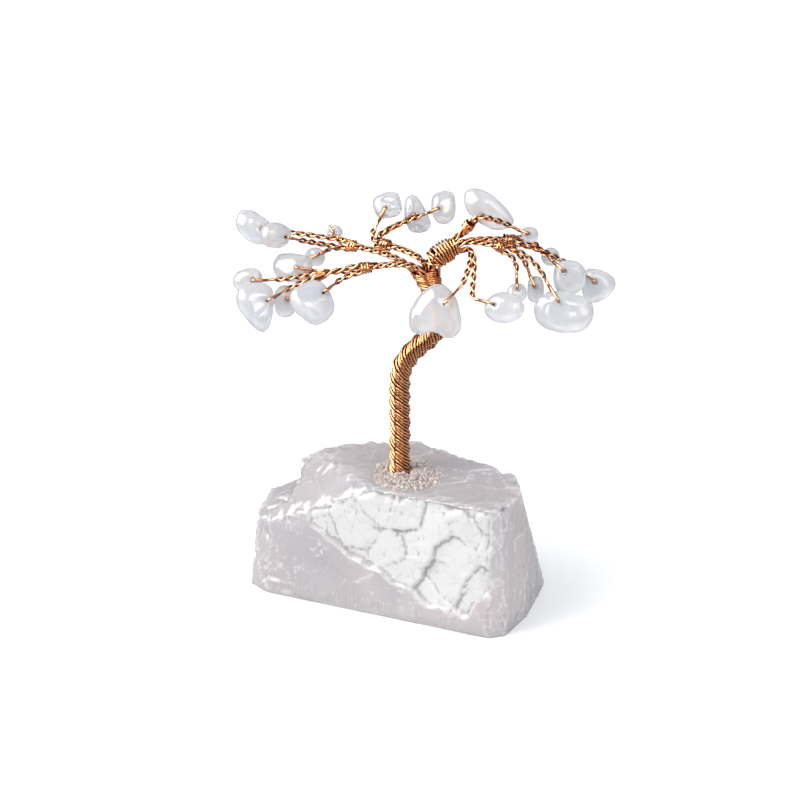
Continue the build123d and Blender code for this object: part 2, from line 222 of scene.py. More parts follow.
def make_cracks():
    """Cells with bent borders: each has its own tilt, thin cracks run between them, and a few are flecks."""
    inputs = {"Scale": 150.0, "Width": 0.05}
    group, given, out = new_group("Broken flats", inputs, ["Crack", "Height", "Fleck"])
    bend = add_node(group, "ShaderNodeTexNoise", Vector=given["Place"], Scale=given["Scale"],
                    Detail=3.0).outputs
    reach = add_math(group, "DIVIDE", BORDER_BEND, given["Scale"])
    shift = vector_math(group, "SCALE", bend["Color"], reach)
    place = vector_math(group, "ADD", given["Place"], shift)
    flats = add_node(group, "ShaderNodeTexVoronoi", Vector=place, Scale=given["Scale"]).outputs
    borders = add_node(group, "ShaderNodeTexVoronoi", {"feature": "DISTANCE_TO_EDGE"}, Vector=place,
                       Scale=given["Scale"]).outputs["Distance"]
    line = spread(group, borders, 0.0, given["Width"], 1.0, 0.0)
    gaps = spread(group, bend["Fac"], *CRACK_GAPS)
    group.links.new(add_math(group, "MULTIPLY", line, gaps), out["Crack"])
    from_middle = vector_math(group, "SUBTRACT", place, flats["Position"])
    across = vector_math(group, "SCALE", from_middle, given["Scale"])
    tilt = vector_math(group, "SUBTRACT", flats["Color"], (0.5, 0.5, 0.5))
    group.links.new(vector_math(group, "DOT_PRODUCT", across, tilt), out["Height"])
    chance = add_node(group, "ShaderNodeSeparateColor", Color=flats["Color"]).outputs["Red"]
    group.links.new(spread(group, chance, *FLECK_CHANCE), out["Fleck"])
    return group


VEILS = make_veils()
CRACKS = make_cracks()


def place_group(tree, group, place, **values):
    """One use of a shared effect in a material."""
    return add_node(tree, "ShaderNodeGroup", {"node_tree": group}, Place=place, **values).outputs


def new_finish(name):
    """A material with its shader and its Object coordinates."""
    material = bpy.data.materials.new(name)
    material.use_nodes = True
    tree = material.node_tree
    shader = tree.nodes["Principled BSDF"]
    place = tree.nodes.new("ShaderNodeTexCoord").outputs["Object"]
    return material, tree, shader, place


def add_bump(tree, shader, height, strength, depth):
    """Fine relief of a real depth."""
    bump = add_node(tree, "ShaderNodeBump", Strength=strength, Distance=depth, Height=height)
    tree.links.new(bump.outputs["Normal"], shader.inputs["Normal"])


print("groups:", [group.name for group in bpy.data.node_groups])

# %% [markdown]
# The wire is bare, bright copper. It is a plain metal: the colour is in its reflections, so most of its
# look comes from what it mirrors. Handling leaves duller patches, and the drawing die leaves fine lines. The
# grooves between wires are given painted shade, brown to near black. Dark grooves could be left to the
# lighting, but they would then fade from other sides. So each wire's mesh carries how far it faces out of its
# rope.

# %% Copper finish
COPPER = (0.96, 0.47, 0.24, 1)
COPPER_DULL = (0.78, 0.28, 0.11, 1)
# painted shade: brown to near black in the grooves between wires
GROOVE_SHADE_BROWN = (0.12, 0.03, 0.01, 1)
GROOVE_SHADE_BLACK = (0.05, 0.014, 0.008, 1)
FACING_OUT_SPAN = (0.25, 0.7)


def make_copper():
    material, tree, shader, place = new_finish("copper")
    patches = place_group(tree, VEILS, place, Scale=260.0, Low=0.48, High=0.75)
    lines = place_group(tree, VEILS, place, Scale=5000.0, Low=0.3, High=0.7)
    facing = add_node(tree, "ShaderNodeAttribute", {"attribute_name": "facing"}).outputs["Fac"]
    facing_out = spread(tree, facing, *FACING_OUT_SPAN)
    # painted shade where a wire faces into its rope, bright copper where it faces out
    groove_shade = mix_colour(tree, patches["Mask"], GROOVE_SHADE_BROWN, GROOVE_SHADE_BLACK)
    outside = mix_colour(tree, patches["Mask"], COPPER, COPPER_DULL)
    tree.links.new(mix_colour(tree, facing_out, groove_shade, outside), shader.inputs["Base Color"])
    smooth = spread(tree, patches["Mask"], 0.0, 1.0, 0.1, 0.22)
    tree.links.new(spread(tree, facing_out, 0.0, 1.0, 0.5, smooth), shader.inputs["Roughness"])
    shader.inputs["Metallic"].default_value = 1.0
    add_bump(tree, shader, lines["Height"], 0.25, 0.01 * MM)
    return material


copper = make_copper()
print("finish:", copper.name)

# %% [markdown]
# A tumbled chip is clear quartz full of milky veils, with a wet-looking polish. Plain glass would be too
# clear, and plain white plastic too flat. The shader lets part of the light through, scatters the rest just
# under the skin, and clouds the colour from bluish clear to milk white.

# %% Tumbled quartz finish
CLEAR_QUARTZ = (0.83, 0.855, 0.925, 1)
MILK_QUARTZ = (0.985, 0.985, 1.0, 1)
QUARTZ_IOR = 1.54


def make_tumbled_quartz():
    material, tree, shader, place = new_finish("tumbled_quartz")
    veils = place_group(tree, VEILS, place, Scale=170.0, Low=0.36, High=0.62)
    cracks = place_group(tree, CRACKS, place, Scale=230.0, Width=0.03)
    skin = place_group(tree, VEILS, place, Scale=900.0, Low=0.3, High=0.7)
    milky = mix_colour(tree, veils["Mask"], CLEAR_QUARTZ, MILK_QUARTZ)
    tree.links.new(mix_colour(tree, cracks["Crack"], milky, (1, 1, 1, 1)), shader.inputs["Base Color"])
    tree.links.new(spread(tree, skin["Mask"], 0.0, 1.0, 0.05, 0.14), shader.inputs["Roughness"])
    shader.inputs["IOR"].default_value = QUARTZ_IOR
    shader.inputs["Transmission Weight"].default_value = 0.5
    shader.inputs["Subsurface Weight"].default_value = 0.4
    shader.inputs["Subsurface Radius"].default_value = (1.0, 1.0, 1.1)
    shader.inputs["Subsurface Scale"].default_value = 2.0 * MM
    shader.inputs["Coat Weight"].default_value = 0.4
    shader.inputs["Coat Roughness"].default_value = 0.04
    add_bump(tree, shader, skin["Height"], 0.12, 0.05 * MM)
    return material


tumbled_quartz = make_tumbled_quartz()
print("finish:", tumbled_quartz.name)

# %% [markdown]
# The block is the same mineral, broken and not polished. Light goes a few millimetres into it, so its
# shadows are soft and grey. A fresh fracture on the front is bright white, with painted shade in the valleys
# where one broken flat steps down to the next. The rest is grey-white with faint pink and healed cracks, with
# small painted glints and a painted highlight along sharp edges. The mesh carries three masks for this: where
# the fracture is, which points lie on sharp edges, and which in valleys.

# %% Rough quartz finish
GREY_QUARTZ = (0.6, 0.575, 0.6, 1)
PALE_QUARTZ = (0.75, 0.735, 0.755, 1)
PINK_QUARTZ = (0.75, 0.655, 0.65, 1)
# white for healed cracks, and for painted glints and painted highlights on edges
CRACK_AND_HIGHLIGHT_WHITE = (0.97, 0.97, 0.97, 1)
WHITE_FRACTURE = (0.985, 0.975, 0.97, 1)
FRACTURE_SHADE = (0.42, 0.4, 0.41, 1)
HEALED_CRACKS = 0.12
# shares of painted glints, a painted highlight on sharp edges and painted shade in the fracture's steps
GLINT_SHARE = 0.7
EDGE_HIGHLIGHT = 0.6
STEP_SHADE = 0.7
FRESH_CRACKS = 0.25
FINE_CRACKS = 0.2
GRAIN_RELIEF = 0.3
FLAKE_RELIEF = 0.35


def make_rough_quartz():
    material, tree, shader, place = new_finish("rough_quartz")
    veils = place_group(tree, VEILS, place, Scale=70.0, Detail=2.0, Low=0.32, High=0.7)
    blush = place_group(tree, VEILS, place, Scale=40.0, Detail=1.5, Low=0.38, High=0.8)
    swarms = place_group(tree, VEILS, place, Scale=110.0, Detail=2.0, Low=0.48, High=0.6)
    grain = place_group(tree, VEILS, place, Scale=900.0, Low=0.35, High=0.65)
    plates = place_group(tree, CRACKS, place, Scale=210.0, Width=0.03)
    flakes = place_group(tree, CRACKS, place, Scale=620.0, Width=0.05)
    sparks = place_group(tree, CRACKS, place, Scale=1500.0, Width=0.05)
    fracture = add_node(tree, "ShaderNodeAttribute", {"attribute_name": "fracture"}).outputs["Fac"]
    ridge = add_node(tree, "ShaderNodeAttribute", {"attribute_name": "ridge"}).outputs["Fac"]
    valley = add_node(tree, "ShaderNodeAttribute", {"attribute_name": "valley"}).outputs["Fac"]
    body = mix_colour(tree, veils["Mask"], GREY_QUARTZ, PALE_QUARTZ)
    body = mix_colour(tree, blush["Mask"], body, PINK_QUARTZ)
    body = tint(tree, body, plates["Crack"], HEALED_CRACKS, CRACK_AND_HIGHLIGHT_WHITE)
    # painted glints: a few small cells turned white, crowded in swarms
    painted_glints = spread(tree, swarms["Mask"], 0.0, 1.0, 0.0, GLINT_SHARE)
    body = tint(tree, body, sparks["Fleck"], painted_glints, CRACK_AND_HIGHLIGHT_WHITE)
    # painted highlight along sharp outward edges
    body = tint(tree, body, ridge, EDGE_HIGHLIGHT, CRACK_AND_HIGHLIGHT_WHITE)
    # painted shade in the valleys where the fracture steps down
    fresh = tint(tree, WHITE_FRACTURE, valley, STEP_SHADE, FRACTURE_SHADE)
    fresh = tint(tree, fresh, plates["Crack"], FRESH_CRACKS, FRACTURE_SHADE)
    fresh = tint(tree, fresh, flakes["Crack"], FINE_CRACKS, FRACTURE_SHADE)
    tree.links.new(mix_colour(tree, fracture, body, fresh), shader.inputs["Base Color"])
    dull = spread(tree, grain["Mask"], 0.0, 1.0, 0.1, 0.26)
    tree.links.new(spread(tree, fracture, 0.0, 1.0, dull, 0.45), shader.inputs["Roughness"])
    shader.inputs["IOR"].default_value = QUARTZ_IOR
    shader.inputs["Transmission Weight"].default_value = 0.25
    tree.links.new(spread(tree, fracture, 0.0, 1.0, 0.65, 0.15), shader.inputs["Subsurface Weight"])
    shader.inputs["Subsurface Radius"].default_value = (1.0, 0.95, 0.95)
    shader.inputs["Subsurface Scale"].default_value = 4.0 * MM
    tree.links.new(spread(tree, fracture, 0.0, 1.0, 0.35, 0.05), shader.inputs["Coat Weight"])
    shader.inputs["Coat Roughness"].default_value = 0.08
    small = add_math(tree, "MULTIPLY", flakes["Height"], FLAKE_RELIEF)
    tilts = add_math(tree, "ADD", plates["Height"], small)
    steps = add_math(tree, "MULTIPLY", tilts, spread(tree, fracture, 0.0, 1.0, 0.25, 2.2))
    relief = add_math(tree, "ADD", add_math(tree, "MULTIPLY", grain["Height"], GRAIN_RELIEF), steps)
    add_bump(tree, shader, relief, 0.6, 0.2 * MM)
    return material


rough_quartz = make_rough_quartz()
print("finish:", rough_quartz.name)

# %% [markdown]
# Crushed quartz lies round the trunk's foot, in clear glue. The grains are pinkish, partly from the glue and
# partly from painted light bounced off the copper above them. Both finishes reuse the veils.

# %% Crushed quartz and glue finishes
# the pink stands partly for light bounced from the copper above, painted in
GRIT_PINK = (0.93, 0.77, 0.73, 1)
GRIT_PALE = (0.99, 0.91, 0.89, 1)
GLUE_PINK = (0.84, 0.7, 0.67, 1)
GLUE_PALE = (0.9, 0.83, 0.81, 1)


def make_crushed_quartz():
    material, tree, shader, place = new_finish("crushed_quartz")
    veils = place_group(tree, VEILS, place, Scale=650.0, Low=0.4, High=0.6)
    shade = mix_colour(tree, veils["Mask"], GRIT_PINK, GRIT_PALE)
    tree.links.new(shade, shader.inputs["Base Color"])
    tree.links.new(spread(tree, veils["Mask"], 0.0, 1.0, 0.1, 0.3), shader.inputs["Roughness"])
    shader.inputs["IOR"].default_value = QUARTZ_IOR
    shader.inputs["Transmission Weight"].default_value = 0.35
    shader.inputs["Subsurface Weight"].default_value = 0.5
    shader.inputs["Subsurface Radius"].default_value = (1.0, 0.85, 0.85)
    shader.inputs["Subsurface Scale"].default_value = 0.8 * MM
    add_bump(tree, shader, veils["Height"], 0.3, 0.05 * MM)
    return material


def make_glue():
    material, tree, shader, place = new_finish("set_glue")
    veils = place_group(tree, VEILS, place, Scale=420.0, Low=0.4, High=0.62)
    shade = mix_colour(tree, veils["Mask"], GLUE_PINK, GLUE_PALE)
    tree.links.new(shade, shader.inputs["Base Color"])
    tree.links.new(spread(tree, veils["Mask"], 0.0, 1.0, 0.08, 0.22), shader.inputs["Roughness"])
    shader.inputs["Transmission Weight"].default_value = 0.4
    add_bump(tree, shader, veils["Height"], 0.4, 0.2 * MM)
    return material


crushed_quartz = make_crushed_quartz()
set_glue = make_glue()
print("finishes:", crushed_quartz.name, set_glue.name)

# %% [markdown]
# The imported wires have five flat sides. A subdivision modifier would round them, but it also pulls every bend
# inwards. Each ring of corners, walked from an end cap, gives one point of the wire's centre line, and a
# round curve through those points keeps every bend where it is.

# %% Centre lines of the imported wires
WIRE_SIDES = 5
SAME_PLANE = math.radians(0.05)
WIRE_RADIUS = 0.225 * MM


def centre_lines(node):
    """One centre line for each faceted wire of a node."""
    bm = merged_copy(node)
    bmesh.ops.dissolve_limit(bm, angle_limit=SAME_PLANE, verts=bm.verts, edges=bm.edges)
    bm.verts.index_update()
    lines = []
    seen = set()
    for cap in [face for face in bm.faces if len(face.verts) == WIRE_SIDES]:
        ring = set(cap.verts) - seen
        line = []
        while ring:
            corners = sorted(ring, key=lambda corner: corner.index)
            line.append(sum((corner.co for corner in corners), Vector()) / len(corners))
            seen |= ring
            ring = {edge.other_vert(corner) for corner in ring for edge in corner.link_edges} - seen
        if len(line) > 1:
            lines.append(line)
    bm.free()
    return lines


def from_foot(lines, foot):
    """The lines of a rope, all turned to start at the end that is nearer its foot."""
    return [line if (line[0] - foot).length < (line[-1] - foot).length else line[::-1] for line in lines]


def rope_axis(lines):
    """The middle line of a rope of equal wires."""
    return [sum(points, Vector()) / len(points) for points in zip(*lines)]


def lines_of(kind):
    """The centre lines of every node of one kind, by the rest of its name."""
    return {name[len(kind):]: centre_lines(name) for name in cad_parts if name.startswith(kind)}


trunk_axis = rope_axis(from_foot(centre_lines("trunk_strands"), Vector()))
crown = trunk_axis[-1]
branches = {name: from_foot(lines, crown) for name, lines in lines_of("branch_").items()}
twigs = {name: lines[0] for name, lines in lines_of("twig_").items()}
axes = {name: rope_axis(lines) for name, lines in branches.items()}
print("wires in branches:", {name: len(lines) for name, lines in branches.items()})
print("points in twigs:", {name: len(line) for name, line in twigs.items()})

# %% [markdown]
# On a real tree each twig's wire runs on into its branch, and each branch's wires run on into the trunk.
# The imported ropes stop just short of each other. So every wire start is led a little way back along the rope
# that carries it, where it lies among that rope's own wires. The same cell makes the round wires, and marks
# how far each point of them faces out of its rope.

# %% Lead each wire into the rope that carries it, and make it round
BRANCH_LEAD_IN = 3.0 * MM
TWIG_LEAD_IN = 1.8 * MM
LEAD_SHARES = (1.0, 0.66, 0.33)
LEAD_TUCK = 0.7
AXIS_STEPS = 4
rope_ends = {name: (axis[-1], (axis[-1] - axis[-2]).normalized()) for name, axis in axes.items()}
rope_ends["trunk"] = (trunk_axis[-1], (trunk_axis[-1] - trunk_axis[-2]).normalized())


def lead_in(start, middle, depth):
    """Points from deep in the carrying rope out to a wire's start; middle is the middle of its own rope."""
    end, way = min(rope_ends.values(), key=lambda rope: (rope[0] - middle).length)
    points = []
    for share in LEAD_SHARES:
        points.append(start - way * (depth * share) + (end - middle) * (LEAD_TUCK * share))
    return points


def mark_facing(mesh, axis):
    """Stores how far each point of a wire faces away from the middle line of its rope; the copper paints shade
    where it faces in.
    """
    middles = KDTree(AXIS_STEPS * len(axis))
    for k, (here, there) in enumerate(zip(axis, axis[1:] + axis[-1:])):
        for step in range(AXIS_STEPS):
            middles.insert(here.lerp(there, step / AXIS_STEPS), AXIS_STEPS * k + step)
    middles.balance()
    facing = mesh.attributes.new("facing", "FLOAT", "POINT")
    for vert, value in zip(mesh.vertices, facing.data):
        outwards = (vert.co - middles.find(vert.co)[0]).normalized()
        value.value = max(0.0, vert.normal.dot(outwards))


def round_wires(name, lines, axis):
    """Round wires of the real thickness along centre lines, as one mesh."""
    curve = bpy.data.curves.new(name, "CURVE")
    curve.dimensions = "3D"
    curve.bevel_depth = WIRE_RADIUS
    curve.bevel_resolution = 3
    curve.resolution_u = 4
    curve.use_fill_caps = True
    for line in lines:
        spline = curve.splines.new("BEZIER")
        spline.bezier_points.add(len(line) - 1)
        for point, place in zip(spline.bezier_points, line):
            point.co = place
            point.handle_left_type = "AUTO"
            point.handle_right_type = "AUTO"
    carrier = bpy.data.objects.new(name + "_curve", curve)
    bpy.context.scene.collection.objects.link(carrier)
    mesh = evaluated_mesh(carrier)
    mark_facing(mesh, axis)
    return mesh


def dress_branches():
    for name, lines in branches.items():
        middle = axes[name][0]
        led = [lead_in(line[0], middle, BRANCH_LEAD_IN) + line for line in lines]
        mesh = round_wires("branch_" + name, led, axes[name])
        add_piece("branch_" + name + "_wires", mesh, TREE, copper, ["branch_" + name])


def dress_twigs():
    for name, line in twigs.items():
        middle = (line[0] + line[-1]) / 2
        first = lead_in(line[0], middle, TWIG_LEAD_IN)
        last = lead_in(line[-1], middle, TWIG_LEAD_IN)
        led = first + line + last[::-1]
        half = len(led) // 2
        mesh = round_wires("twig_" + name, [led], rope_axis([led[:half], led[:half - 1:-1]]))
        add_piece("twig_" + name + "_wire", mesh, TREE, copper, ["twig_" + name])


dress_branches()
dress_twigs()

# %% [markdown]
# The trunk's outer wires lie side by side with no gap, steep on the shaft and flatter at the neck, where
# they spread out over the crown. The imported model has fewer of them. Here twelve strands are wound on the
# same axis, with small bulges where hand winding bunches them in fours.

# %% Trunk strands and the winding at the crown
TRUNK_STRANDS = 12
TRUNK_RADIUS = 1.575 * MM
TRUNK_LEAD = 7.4 * MM
NECK_START = 0.72
NECK_FLARE = 0.28
NECK_TURN = 0.1
BUNCHES = 3
BUNCHING = 0.17 * MM
BULGES = 23
BULGE_SHIFT = 0.4
BULGE_SHARE = 0.7
WINDING_STEPS = 14
BACKWARDS = Vector((0, 1, 0))


def place_on(axis, share):
    """A point and a direction at a share of an axis whose points are evenly spaced."""
    spot = min(max(share, 0.0), 1.0) * (len(axis) - 1)
    k = min(int(spot), len(axis) - 2)
    return axis[k].lerp(axis[k + 1], spot - k), (axis[k + 1] - axis[k]).normalized()


def around(axis, share, angle, radius):
    """A point at an angle round an axis."""
    point, way = place_on(axis, share)
    across = way.cross(BACKWARDS).normalized()
    side = way.cross(across)
    return point + (across * math.cos(angle) + side * math.sin(angle)) * radius


def length_of(axis):
    return sum((b - a).length for a, b in zip(axis, axis[1:]))


def trunk_strand(number):
    """One strand: its slope flattens at the neck, and its radius bulges a little and flares."""
    turns = length_of(trunk_axis) / TRUNK_LEAD
    count = int(turns * WINDING_STEPS)
    line = []
    for k in range(count + 1):
        share = k / count
        neck = max(0.0, share - NECK_START) / (1 - NECK_START)
        angle = 2 * math.pi * (number / TRUNK_STRANDS - turns * (share + NECK_TURN * neck * neck))
        bunch = math.cos(2 * math.pi * BUNCHES * number / TRUNK_STRANDS)
        uneven = noise.noise(Vector((share * BULGES, number * BULGE_SHIFT, 0)))
        bulge = BUNCHING * (bunch + BULGE_SHARE * uneven)
        radius = TRUNK_RADIUS * (1 + NECK_FLARE * neck ** 2) + bulge
        line.append(around(trunk_axis, share, angle, radius))
    return line


def dress_trunk():
    strands = [trunk_strand(number) for number in range(TRUNK_STRANDS)]
    mesh = round_wires("trunk", strands, trunk_axis)
    add_piece("trunk_wound_wires", mesh, TREE, copper, ["trunk_strands"])
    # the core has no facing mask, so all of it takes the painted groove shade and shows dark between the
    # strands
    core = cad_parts["trunk_core"].data
    core.materials.clear()
    core.materials.append(copper)


# turns, start and end as shares of the bough, and lift in millimetres
WRAP_LAYERS = ((10, 0.02, 0.9, 0.0), (6, 0.2, 0.72, 0.36))
COIL_WOBBLE = 0.12 * MM
WOBBLES = 17


def rope_radius(name):
    """The outer radius of a branch rope at its foot."""
    return max((line[0] - axes[name][0]).length for line in branches[name]) + WIRE_RADIUS


def coil(axis, turns, start, end, radius, seed):
    """A winding round an axis between two shares of it, a little uneven as hand winding is."""
    line = []
    count = turns * WINDING_STEPS
    for k in range(count + 1):
        wobble = COIL_WOBBLE * noise.noise(Vector((k / count * WOBBLES, seed, 0)))
        share = start + (end - start) * k / count
        line.append(around(axis, share, -2 * math.pi * turns * k / count, radius + wobble))
    return line


def dress_crown():
    """Two layers of tight winding where the bough leaves the crown."""
    radius = rope_radius("bough") + WIRE_RADIUS
    lines = []
    for turns, start, end, lift in WRAP_LAYERS:
        lines.append(coil(axes["bough"], turns, start, end, radius + lift * MM, turns))
    mesh = round_wires("crown_wrap", lines, axes["bough"])
    add_piece("crown_winding_wire", mesh, TREE, copper, ["crown_wrap"])


dress_trunk()
dress_crown()
print("trunk strands:", TRUNK_STRANDS, "crown layers:", len(WRAP_LAYERS))

# %% [markdown]
# Where a branch splits, one wire is wrapped round the rest to hold them, and spare wire is snipped off
# beside it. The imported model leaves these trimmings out. Each binding is the same coil again, only short,
# and each snipped end is a short wire that comes out of the rope and stands off.

# %% Fork bindings and snipped ends
BINDING_TURNS = 3
BINDING_LENGTH = 1.5 * MM
SNIP_ALONG = 2.2 * MM
SNIP_OUT = 1.0 * MM
SNIP_ROOT = 0.6
# the angle, in radians, at which each branch's snipped end stands off
SNIP_TURNS = {"left_high": 1.2, "left_low": 2.6, "back": 0.8,
              "right_high": 1.6, "right_middle": 4.4, "right_low": 1.0}


def fork_binding(name):
    axis = axes[name]
    start = 1 - BINDING_LENGTH / length_of(axis)
    return coil(axis, BINDING_TURNS, start, 1.0, rope_radius(name) + WIRE_RADIUS, len(name))


def snipped_end(name, turn):
    axis = axes[name]
    radius = rope_radius(name)
    share = 1 - SNIP_ALONG / length_of(axis)
    root = around(axis, share, turn, SNIP_ROOT * radius)
    lip = around(axis, (share + 1) / 2, turn, radius)
    middle, way = place_on(axis, (share + 1) / 2)
    tip = lip + (lip - middle).normalized() * SNIP_OUT + way * SNIP_OUT
    return [root, lip, tip]


def dress_forks():
    bindings = [fork_binding(name) for name in SNIP_TURNS]
    ends = [point for name in SNIP_TURNS for point in axes[name]]
    add_piece("fork_bindings", round_wires("bindings", bindings, ends), TREE, copper)
    snips = [snipped_end(name, turn) for name, turn in SNIP_TURNS.items()]
    middles = [point for snip in snips for point in snip]
    add_piece("snipped_wire_ends", round_wires("snips", snips, middles), TREE, copper)
    return len(bindings)


print("forks bound:", dress_forks())

# %% [markdown]
# A drilled chip comes out of the tumbler as a pebble: its edges are worn round, but flats and dents of the
# broken stone stay. A sphere that is pushed about would lose the chip's own outline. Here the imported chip,
# bore and all, becomes an even mesh, is worn a little, loses soft dents and flats, and is worn again.

# %% Tumbled chips
CHIP_VOXEL = 0.3 * MM
FIRST_WEAR = 3
LAST_WEAR = 7
DENT_DEPTH = 0.3 * MM
DENT_SIZE = 3.4 * MM
FLAT_DEPTH = 0.4 * MM
FLAT_SIZE = 4.2 * MM
FLAT_REST = 0.3
TILT_DRAW = 7.3


def tilted_flats(place, size):
    """How far a point lies above or below the plane of its cell, where every cell has its own tilt."""
    _, centres = noise.voronoi(place / size)
    tilt = noise.cell_vector(centres[0] * TILT_DRAW) * 2 - Vector((1, 1, 1))
    return max(-1.0, min(1.0, (place / size - centres[0]).dot(tilt)))


def dress_chip(node):
    bm = voxel_copy(node, CHIP_VOXEL)
    soften(bm, FIRST_WEAR)
    bm.normal_update()
    for vert in bm.verts:
        dent = DENT_DEPTH * (0.5 + 0.5 * noise.noise(vert.co / DENT_SIZE))
        flat = FLAT_DEPTH * (FLAT_REST + (1 - FLAT_REST) * tilted_flats(vert.co, FLAT_SIZE))
        vert.co -= vert.normal * (dent + flat)
    soften(bm, LAST_WEAR)
    mesh = bpy.data.meshes.new(node)
    bm.to_mesh(mesh)
    bm.free()
    pebble = add_piece(node + "_pebble", mesh, node, tumbled_quartz, [node])
    polish = pebble.modifiers.new("polish", "SUBSURF")
    polish.levels = 1
    polish.render_levels = 1
    return len(mesh.polygons)


chips = sorted(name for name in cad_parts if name.startswith("chip_"))
print("faces of chips:", {name: dress_chip(name) for name in chips})

# %% [markdown]
# Rough quartz breaks in small tilted flats, with larger steps on fresh faces. Plain noise gives a lumpy
# potato. Here the block's even mesh is cut by cells, each with its own tilt, in three sizes. One fresh
# fracture on the front is sunk a little, stepped and marked in a mask for the finish. The underside stays
# flat.

# %% Rough quartz block
ROCK_VOXEL = 0.34 * MM
ROCK_WEAR = 1
# size of the cells, and depth of their tilt
FLAT_SIZES = ((7.0 * MM, 0.8 * MM), (2.8 * MM, 0.32 * MM), (1.1 * MM, 0.1 * MM))
PLATE_SIZES = ((6.0 * MM, 1.0 * MM), (2.6 * MM, 0.14 * MM))
FLAT_SINK = 0.2
FLAT_TILT = 0.6
PLATE_BEND = 0.7 * MM
PLATE_BEND_SIZE = 3.2 * MM
CALM = 0.45
STEPPED_END = -19.0 * MM
FADE = 3 * MM
# what stays smooth: the underside, and the top round the trunk
FLOOR_CLEAR = 0.2 * MM
FLOOR_FADE = 1.5 * MM
FOOT_CLEAR = 3.5 * MM
TOP_BAND = 2 * MM
# corners of the fracture's border on the front, x and z in millimetres
FRACTURE_EDGE = ((-16.7, 19.0), (-16.5, 13.5), (-9.5, 10.5), (1.5, 3.6), (11.0, 3.0), (15.6, 8.0),
                 (15.6, 24.5))
FRACTURE_SINK = 0.55 * MM
FRACTURE_FADE = 0.35
BORDER_SWING = 0.9
BORDER_SIZE = 2.5 * MM
DEEPEST = 9.0
FRONT_FACING = -0.7
SHARP_BEND = 0.1
CHIPPED_RINGS = 6
CHIPPED_SPREAD = 0.75
CHIPPED_DEPTH = 1.0 * MM
NICK_REST = 0.25
NICK_SIZE = 2.4 * MM
FINE_NICK = 0.5
FINE_NICK_SIZE = 1.0 * MM
# where each mask starts, and how far it takes to be full, in radians of bend
RIDGE_BEND = (0.07, 0.2)
VALLEY_BEND = (0.05, 0.12)
rock_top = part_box("rock_base")[1].z


def ramp(value, start, length):
    """Nothing up to the start, then rising over the length to 1, and no further."""
    return min(1.0, max(0.0, (value - start) / length))


def bend_at(vert):
    """How sharply the surface bends outwards at a point."""
    bends = [edge.calc_face_angle_signed(0.0) for edge in vert.link_edges]
    return sum(bends) / len(bends)


def near_edges(bm):
    """How near each point lies to a sharp edge, from 1 on it to nothing a few points away."""
    wear = {vert: 1.0 if bend_at(vert) > SHARP_BEND else 0.0 for vert in bm.verts}
    for _ in range(CHIPPED_RINGS):
        spreading = {}
        for vert in bm.verts:
            passed_on = [CHIPPED_SPREAD * wear[edge.other_vert(vert)] for edge in vert.link_edges]
            spreading[vert] = max([wear[vert]] + passed_on)
        wear = spreading
    return wear


def in_fracture(place, normal):
    """How far a point of the front lies inside the fresh fracture, in millimetres, or less than nothing."""
    if normal.y >= FRONT_FACING:
        return -1.0
    x, z = place.x / MM, place.z / MM
    depth = DEEPEST
    for (x0, z0), (x1, z1) in zip(FRACTURE_EDGE, FRACTURE_EDGE[1:]):
        run = math.hypot(x1 - x0, z1 - z0)
        depth = min(depth, ((x1 - x0) * (z - z0) - (z1 - z0) * (x - x0)) / run)
    return depth + BORDER_SWING * noise.noise(place / BORDER_SIZE)


def freedom(place):
    """How freely a point may move: not at all on the underside and round the trunk."""
    free = ramp(place.z, FLOOR_CLEAR, FLOOR_FADE)
    if place.z > rock_top - TOP_BAND:
        free *= ramp(math.hypot(place.x, place.y), FOOT_CLEAR, FADE)
    return free


def flats_at(place):
    """The depth of the old broken flats at a point, deeper at the stepped end."""
    rough = CALM + (1 - CALM) * ramp(STEPPED_END - place.x, 0.0, FADE)
    flats = [depth * (FLAT_SINK + FLAT_TILT * tilted_flats(place, size)) for size, depth in FLAT_SIZES]
    return sum(flats) * rough


def plates_at(place):
    """The depth of the fresh fracture at a point."""
    bent = place + noise.noise_vector(place / PLATE_BEND_SIZE) * PLATE_BEND
    return FRACTURE_SINK + sum(depth * tilted_flats(bent, size) for size, depth in PLATE_SIZES)


def nicks_at(place):
    """The depth of the nicks that an edge would have at a point."""
    rough = NICK_REST + noise.noise(place / NICK_SIZE) + FINE_NICK * noise.noise(place / FINE_NICK_SIZE)
    return CHIPPED_DEPTH * max(0.0, rough)


def break_surface(bm, fracture):
    """Moves each point in by the flats that it lies on, chips the edges and marks the fresh fracture."""
    wear = near_edges(bm)
    moves = {}
    for vert in bm.verts:
        place = vert.co
        free = freedom(place)
        inside = ramp(in_fracture(place, vert.normal), 0.0, FRACTURE_FADE)
        broken = flats_at(place) * (1 - inside) + plates_at(place) * inside
        moves[vert] = vert.normal * -((broken + nicks_at(place) * wear[vert]) * free)
        vert[fracture] = inside * free
    for vert, move in moves.items():
        vert.co += move


def mark_bends(bm, ridge, valley):
    """Marks sharp outward edges, which catch the light on broken stone and get a painted highlight, and the
    valleys between its flats, which get painted shade.
    """
    bm.normal_update()
    bends = {vert: bend_at(vert) for vert in bm.verts}
    for vert in bm.verts:
        near = [bends[vert]] + [bends[edge.other_vert(vert)] for edge in vert.link_edges]
        vert[ridge] = ramp(bends[vert], *RIDGE_BEND)
        vert[valley] = ramp(-sum(near) / len(near), *VALLEY_BEND)


